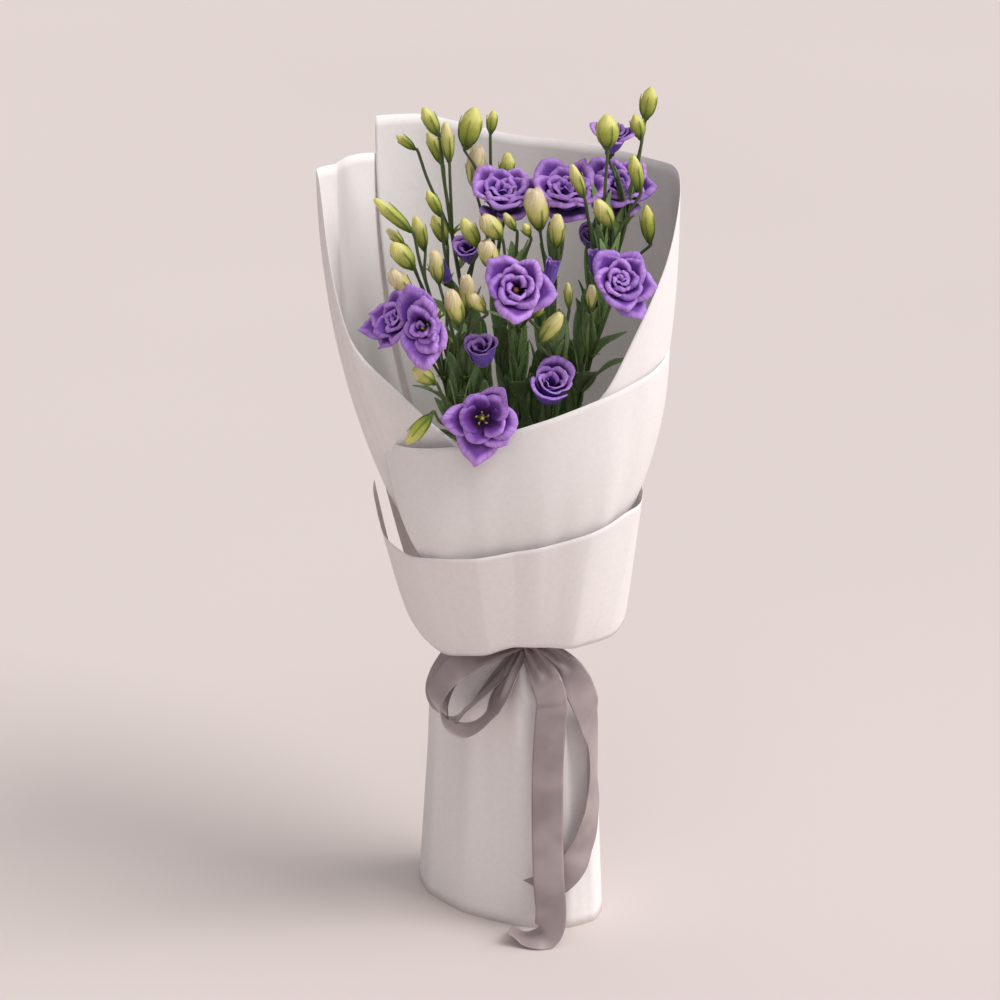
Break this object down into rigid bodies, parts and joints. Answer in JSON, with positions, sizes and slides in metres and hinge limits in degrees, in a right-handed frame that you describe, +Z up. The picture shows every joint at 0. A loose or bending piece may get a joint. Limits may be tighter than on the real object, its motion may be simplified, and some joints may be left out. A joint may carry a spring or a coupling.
{
  "type": "wrapped lisianthus bouquet",
  "caption": "Hand-tied bouquet of violet double lisianthus, wrapped in white paper and tied with a grey satin ribbon bow, standing upright on its cut stems.",
  "frame": {"origin": "on the surface that the bouquet stands on, under the middle of the bouquet's box", "axes": "+Z up along the stems, -Y towards the front of the bow, +X to the right of the bow seen from the front"},
  "size_m": [0.2742, 0.2432, 0.6891],
  "materials": {
    "greenery": "fresh stems, leaves and green buds, satin",
    "petals": "violet petals, soft velvet sheen",
    "stamens": "yellow anthers on a green pistil",
    "paper": "matte white wrapping paper",
    "ribbon": "grey satin ribbon"
  },
  "bodies": {
    "root": {"bloom_back_left": "petals", "bloom_centre": "petals", "bloom_centre_small": "petals", "bloom_front": "petals", "bloom_left_far": "petals", "bloom_left_small": "petals", "bloom_left_tall": "petals", "bloom_low_mid": "petals", "bloom_low_right": "petals", "bloom_right": "petals", "bloom_right_upper": "petals", "bloom_top_left": "petals", "bloom_top_low": "petals", "bloom_top_mid": "petals", "bloom_top_pale": "petals", "bloom_top_right": "petals", "paper_back": "paper", "paper_collar": "paper", "paper_cuff": "paper", "paper_left": "paper", "paper_skirt": "paper", "ribbon": "ribbon", "spray_centre": "greenery", "spray_centre_back": "greenery", "spray_far_right": "greenery", "spray_front": "greenery", "spray_left": "greenery", "spray_left_back": "greenery", "spray_left_front": "greenery", "spray_left_mid": "greenery", "spray_low": "greenery", "spray_right": "greenery", "spray_right_back": "greenery", "spray_top": "greenery", "spray_top_left": "greenery", "stamens_front": "stamens", "stamens_left_tall": "stamens"}
  },
  "joints": []
}
